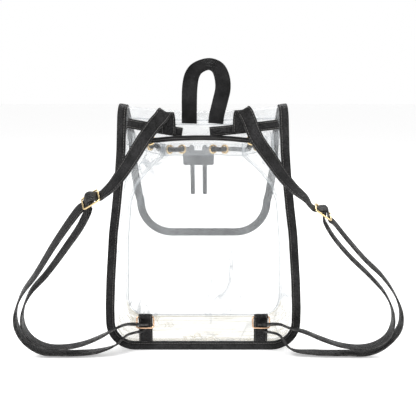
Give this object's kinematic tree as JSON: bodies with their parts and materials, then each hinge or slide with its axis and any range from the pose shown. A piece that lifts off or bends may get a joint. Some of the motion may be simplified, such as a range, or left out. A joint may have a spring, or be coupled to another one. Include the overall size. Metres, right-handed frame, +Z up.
{
  "type": "clear stadium backpack",
  "caption": "Clear drawstring backpack with a top flap, leather binding, carry handle and two adjustable shoulder straps.",
  "frame": {"origin": "middle of the flat underside of the base", "axes": "+X to the right as the back panel is looked at, +Y from the back panel to the front panel, +Z up"},
  "size_m": [0.4703, 0.1875, 0.3584],
  "materials": {
    "clear_pvc": "clear, glossy, slightly wrinkled",
    "black_leather": "pebbled, satin",
    "gold_metal": "polished pale gold"
  },
  "bodies": {
    "root": {"back_sheet": "clear_pvc", "gusset": "clear_pvc", "front_panel": "clear_pvc", "handle_strip": "clear_pvc", "back_binding": "black_leather", "flap_binding": "black_leather", "handle": "black_leather", "cord_lock": "black_leather", "drawstring": "black_leather", "anchor_strip_left": "black_leather", "anchor_strip_right": "black_leather", "shoulder_strap_left": "black_leather", "shoulder_strap_right": "black_leather", "lower_tab_left": "black_leather", "lower_tab_right": "black_leather", "drawstring_tail_left": "black_leather", "drawstring_tail_right": "black_leather", "back_eyelet_left": "gold_metal", "back_eyelet_right": "gold_metal", "side_eyelet_left": "gold_metal", "side_eyelet_right": "gold_metal", "slide_buckle_left": "gold_metal", "slide_buckle_right": "gold_metal", "lower_ring_left": "gold_metal", "lower_ring_right": "gold_metal", "front_eyelet_1": "gold_metal", "front_eyelet_2": "gold_metal", "front_eyelet_3": "gold_metal", "front_eyelet_4": "gold_metal", "flap_snap": "clear_pvc"}
  },
  "joints": []
}
